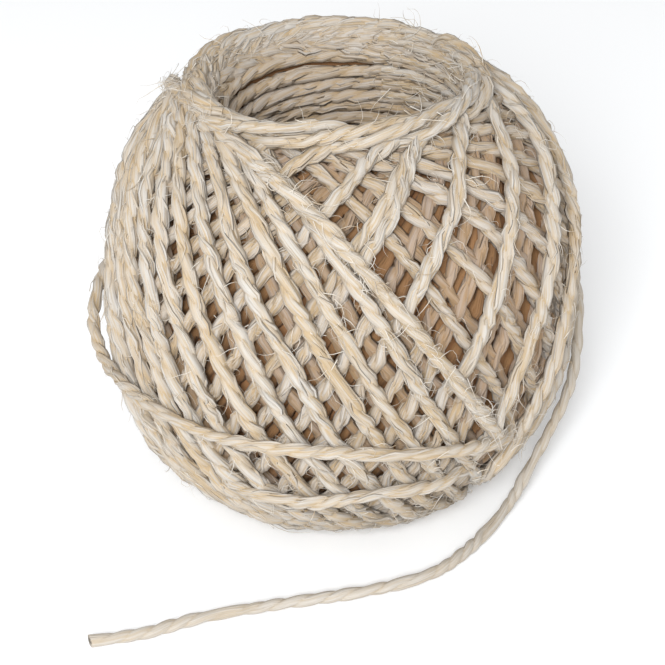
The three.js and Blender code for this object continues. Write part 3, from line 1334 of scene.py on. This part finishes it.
    def build(self, shop: Workshop) -> None:
        """Make every piece of the wound body.

        Args:
            shop: the tools and finishes.
        """
        all_round = {"Outside": -2.0, "Hug": 0.0}
        down = [(lay, self.tilt) for lay in self.down_lays()]
        falling = self.family(down, 1, Depth.TOP, Depth.UNDER, Seed.LAY_DOWN)
        close = shop.lay("down_turns", falling, Seed.SHADE_DOWN)
        shop.tease("down_bundles", falling, Seed.SHADE_DOWN)
        between = [(lay, self.tilt) for lay in self.up_lays()]
        rising = (self.family(list(self.top_lays), -1, Depth.UNDER, Depth.TOP, Seed.LAY_TOP)
                  + self.family(between, -1, Depth.UNDER, Depth.DEEP, Seed.LAY_BETWEEN,
                                past=-11.0))
        crossing = shop.lay("up_turns", rising, Seed.SHADE_UP)
        shop.tease("up_bundles", rising, Seed.SHADE_UP)
        under = [(lay + 180 / self.turns_round, self.tilt) for lay in self.down_lays()]
        across = [(lay, self.tilt) for lay in np.arange(0.0, 360.0, self.across_pitch)]
        deep = (self.family(under, 1, Depth.DEEP, Depth.DEEP, Seed.LAY_UNDER, past=5.0)
                + self.family(across, -1, Depth.BURIED, Depth.BURIED, Seed.LAY_ACROSS,
                              past=-12.0))
        shop.lay("deep_turns", deep, Seed.SHADE_DEEP, Step=3.4 * MM, Sides=5)
        rings = self.wall_rings()
        wall = shop.lay("wall_turns", rings, Seed.SHADE_WALL, Step=2.2 * MM)
        shop.tease("wall_bundles", rings, Seed.SHADE_WALL, Step=3.6 * MM)
        ring = [self.newest()]
        newest = shop.lay("newest_turn", ring, Seed.SHADE_NEWEST, Step=1.0 * MM, Sides=9)
        shop.tease("newest_bundles", ring, Seed.SHADE_NEWEST, Step=1.2 * MM, Sides=4)
        shop.scatter("fuzz_down", close, Seed.FUZZ_DOWN, Density=6.3e4)
        shop.scatter("fuzz_up", crossing, Seed.FUZZ_UP, Density=5.9e4)
        shop.scatter("fuzz_newest", newest, Seed.FUZZ_NEWEST, Density=3.2e5)
        shop.scatter("fuzz_wall", wall, Seed.FUZZ_WALL, Density=0.9e4, **all_round)
        matted = shop.lay("matted_ends", self.matted(), Seed.SHADE_MATTED)
        shop.scatter("fuzz_matted", matted, Seed.FUZZ_MATTED, Density=5.0e5, **all_round)
        wrapping = self.rim_wraps()
        wraps = shop.lay("rim_wraps", wrapping, Seed.SHADE_RIM)
        shop.tease("rim_bundles", wrapping, Seed.SHADE_RIM)
        shop.scatter("fuzz_rim", wraps, Seed.FUZZ_RIM, Density=1.6e5, Hug=0.6)
        for piece in (close, crossing, newest):
            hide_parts("wound_ball")


@dataclass
class LevelTurns:
    """Two level turns low on the front; the upper one goes on round the back."""

    sink: float = 0.1
    steps: int = 12
    thick: tuple[float, float] = (0.94, 0.92)
    upper: tuple[Point, ...] = (
        (-42, 28.6, -1.9), (-49, 30.6, 0.3), (-63, 33.7, 1.1), (-77, 35.7, 1.1),
        (-90, 37.0, 1.1), (-103, 37.0, 1.1), (-118, 36.3, 1.1), (-132, 36.3, 1.1),
        (-146, 35.7, 1.1), (-158, 34.6, 1.2), (-166, 34.8, 2.0), (-174, 38.2, 2.7),
        (-183, 41.5, 1.9), (-194, 43, 1.1), (-212, 43.4, 1.1), (-232, 43.6, 1.1),
        (-252, 44.2, 1.1), (-272, 45, 1.1), (-292, 46, 1.1), (-312, 46.8, 1.1),
        (-326, 46.6, 1.2), (-336, 44.8, 1.5), (-341.4, 42.9, 1.9))
    lower: tuple[Point, ...] = (
        (-120, 22, -1.8), (-112, 23.2, 0.4), (-104, 23.8, 1.0), (-96, 24, 1.1),
        (-88, 25.2, 1.1), (-80, 26.2, 1.1), (-71, 26, 1.0), (-63, 25.2, 0.4),
        (-56, 24.2, -1.8))

    def line(self, route: tuple[Point, ...], end: np.ndarray | None = None) -> np.ndarray:
        """Return a level turn's middle line.

        Args:
            route: azimuth in degrees, height and lift in millimetres, at each knot.
            end: a last point to run on to.

        Returns:
            The line's points.
        """
        azimuth, height, lift = np.array(route, float).T
        azimuth = np.radians(azimuth)
        rise = (height * MM - FORM.centre[2]) / FORM.radius
        across = np.sqrt(1 - rise ** 2)
        directions = np.stack([across * np.cos(azimuth), across * np.sin(azimuth), rise],
                              axis=1)
        knots = FORM.place(directions, (lift - self.sink) * MM)
        if end is not None:
            knots = np.concatenate([knots, end])
        return smooth_route(knots, self.steps)

    def build(self, shop: Workshop, run_on: np.ndarray) -> None:
        """Make the level turns.

        Args:
            shop: the tools and finishes.
            run_on: the points of the loose end that the upper turn runs on to.
        """
        strands = [Strand(self.line(self.upper, run_on), self.thick[0]),
                   Strand(self.line(self.lower), self.thick[1])]
        piece = shop.lay("level_turns", strands, Seed.SHADE_LEVEL, Step=1.0 * MM, Sides=9)
        shop.tease("level_bundles", strands, Seed.SHADE_LEVEL, Step=1.2 * MM, Sides=4)
        shop.scatter("fuzz_level", piece, Seed.FUZZ_LEVEL, Density=4.0e4)


@dataclass
class LooseEnd:
    """The free end of the last turn: down the right side, round the front, cut off aslant."""

    thick: float = 0.88
    steps: int = 16
    slant: float = 0.35
    cut_back: float = 1.2 * MM
    route: tuple[Point, ...] = (
        (51.2, 16.0, 42.0), (52.5, 13.1, 38.2), (53.6, 9.8, 33.6), (53.5, 7.4, 30.0),
        (53.2, 4.5, 25.8), (52.4, 1.2, 21.2), (50.8, -2.0, 17.1), (48.3, -5.7, 13.1),
        (45.5, -9.6, 9.6), (42.5, -14.1, 6.4), (39.5, -19.1, 3.9), (36.5, -24.1, 2.4),
        (33.2, -29.2, 1.7), (27.9, -36.7, 1.6), (21.9, -42.9, 1.6), (14.2, -47.2, 1.6),
        (4.1, -50.4, 1.6), (-6.0, -52.8, 1.6), (-15.9, -55.3, 1.6), (-25.7, -58.2, 1.6),
        (-35.3, -62.5, 1.6), (-43.0, -64.7, 1.6), (-48.0, -65.6, 1.6))

    def line(self) -> np.ndarray:
        """Return the middle line, from where it leaves the ball."""
        return smooth_route(np.array(self.route) * MM, self.steps)

    def start(self) -> np.ndarray:
        """Return a few points at its start, for the level turn to run on to."""
        return self.line()[:20:6]

    def cut_aslant(self, piece: bpy.types.Object, line: np.ndarray) -> None:
        """Cut the far end off by a slanting plane and close it.

        Args:
            piece: the laid twine.
            line: its middle line.
        """
        tangent = Vector(line[-1] - line[-4]).normalized()
        across = Vector((-tangent.y, tangent.x, 0.0))
        facing = (tangent + across * self.slant).normalized()
        work = bmesh.new()
        work.from_mesh(piece.data)
        cut = bmesh.ops.bisect_plane(work, geom=[*work.verts, *work.edges, *work.faces],
                                     plane_co=Vector(line[-1]) - tangent * self.cut_back,
                                     plane_no=facing, clear_outer=True)
        edges = [e for e in cut["geom_cut"] if isinstance(e, bmesh.types.BMEdge)]
        bmesh.ops.holes_fill(work, edges=edges)
        work.to_mesh(piece.data)
        work.free()

    def build(self, shop: Workshop) -> None:
        """Args:
            shop: the tools and finishes.
        """
        line = self.line()
        piece = shop.lay("loose_twine", [Strand(line, self.thick)], Seed.SHADE_LOOSE,
                         Step=0.7 * MM, Sides=14, Ply_Spacing=0.11, Ply_Radius=0.37,
                         Wander=0.05 * MM, Material=shop.clean)
        self.cut_aslant(piece, line)
        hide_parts("loose_end")


@dataclass(frozen=True)
class Lamp:
    """A square soft light."""

    name: str
    place: Point
    size: float
    power: float
    colour: Colour = (0.94, 0.97, 1.0)

    def shine(self, sight: Vector) -> None:
        """Put the lamp in the scene, turned to a point.

        Args:
            sight: the point that it shines at.
        """
        light = bpy.data.lights.new(self.name, "AREA")
        light.size, light.energy, light.color = self.size, self.power, self.colour
        lamp = placed(self.name, light)
        lamp.location = self.place
        lamp.rotation_euler = (sight - Vector(self.place)).to_track_quat("-Z", "Y").to_euler()


@dataclass
class Studio:
    """The camera, the light and the floor."""

    sight: Point = FORM.centre
    distance: float = 0.450
    elevation: float = 31.3
    roll: float = 0.5
    lens: float = 115.42
    sensor: float = 36.0
    shift: tuple[float, float] = (-0.01353, -0.08782)
    clip: tuple[float, float] = (0.01, 20.0)
    sky: float = 0.65
    lamps: tuple[Lamp, ...] = (Lamp("window_left", (-0.85, -0.60, 0.22), 0.5, 0.9),
                               Lamp("fill_front", (-0.12, -0.88, 0.62), 0.35, 13.0))
    floor_reach: float = 3.0
    floor_finish: PlainFinish = PlainFinish("pale_floor", (0.96, 0.96, 0.96),
                                            (0.98, 0.98, 0.98), 3.0)

    def camera(self) -> None:
        """Make the camera at the photograph's angle."""
        rise, roll = math.radians(self.elevation), math.radians(self.roll)
        back = Vector((0.0, -math.cos(rise), math.sin(rise)))
        right = Vector((1.0, 0.0, 0.0))
        up = back.cross(right)
        across = right * math.cos(roll) + up * math.sin(roll)
        upward = up * math.cos(roll) - right * math.sin(roll)
        place = Vector(self.sight) + back * self.distance
        camera = placed("camera", bpy.data.cameras.new("camera"))
        turned = Matrix((across, upward, back)).transposed().to_4x4()
        camera.matrix_world = Matrix.Translation(place) @ turned
        camera.data.lens = self.lens
        camera.data.sensor_width = self.sensor
        camera.data.shift_x, camera.data.shift_y = self.shift
        camera.data.clip_start, camera.data.clip_end = self.clip
        bpy.context.scene.camera = camera

    def light(self) -> None:
        """Make the white sky and the lamps."""
        world = bpy.data.worlds.new("soft_light")
        world.use_nodes = True
        sky = world.node_tree.nodes["Background"]
        sky.inputs["Color"].default_value = (1.0, 1.0, 1.0, 1.0)
        sky.inputs["Strength"].default_value = self.sky
        bpy.context.scene.world = world
        for lamp in self.lamps:
            lamp.shine(Vector(self.sight))
        bpy.context.scene.view_settings.view_transform = "Standard"

    def floor(self) -> None:
        """Make the pale floor."""
        mesh = bpy.data.meshes.new("floor")
        signs = ((-1, -1), (1, -1), (1, 1), (-1, 1))
        corners = [(x * self.floor_reach, y * self.floor_reach, 0.0) for x, y in signs]
        mesh.from_pydata(corners, [], [(0, 1, 2, 3)])
        mesh.materials.append(self.floor_finish.material())
        floor = placed("floor", mesh)


def main() -> None:
    """Build the studio and every piece, and write how large the result is."""
    logging.basicConfig(level=logging.INFO, format="%(name)s %(message)s")
    studio = Studio()
    studio.camera()
    studio.light()
    shop = Workshop()
    loose = LooseEnd()
    loose.build(shop)
    LevelTurns().build(shop, loose.start())
    Core().build(shop)
    Winding().build(shop)
    studio.floor()


if __name__ == "__main__":
    main()
